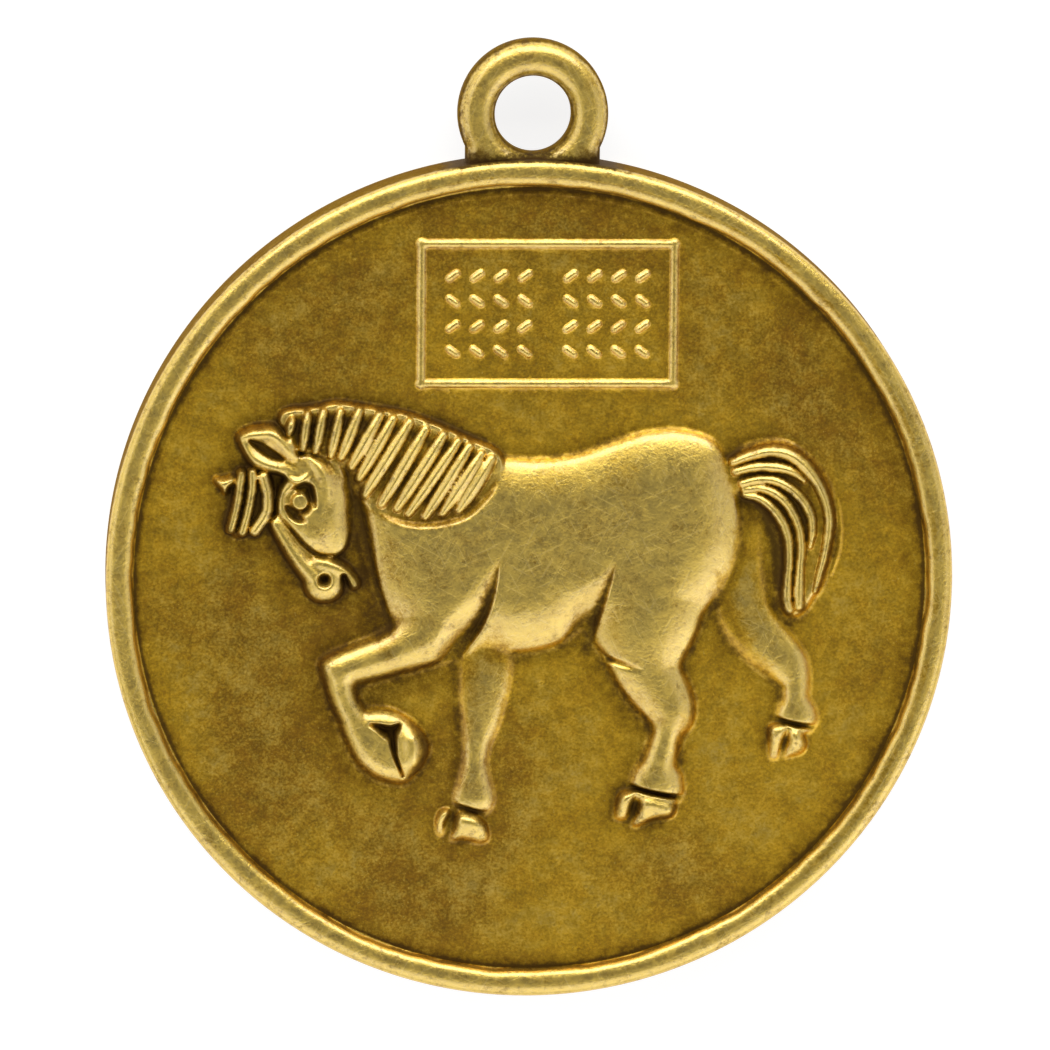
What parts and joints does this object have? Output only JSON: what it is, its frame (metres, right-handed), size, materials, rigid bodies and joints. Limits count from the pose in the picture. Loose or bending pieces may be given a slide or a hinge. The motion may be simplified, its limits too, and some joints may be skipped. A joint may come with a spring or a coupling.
{
  "type": "zodiac charm",
  "caption": "Round cast charm with a raised rim, a walking horse in relief under a small frame, and a hanging loop on its edge.",
  "frame": {"origin": "middle of the whole charm, loop and all, on the surface that it lies on", "axes": "+Z out of the face, +Y from the disc towards the hanging loop, +X towards the horse's tail"},
  "size_m": [0.03, 0.0342, 0.0028],
  "materials": {
    "antique_brass": "antique: dark in the recesses, rubbed bright on the raised edges, fine scratches"
  },
  "bodies": {
    "root": {"charm": "antique_brass"}
  },
  "joints": []
}
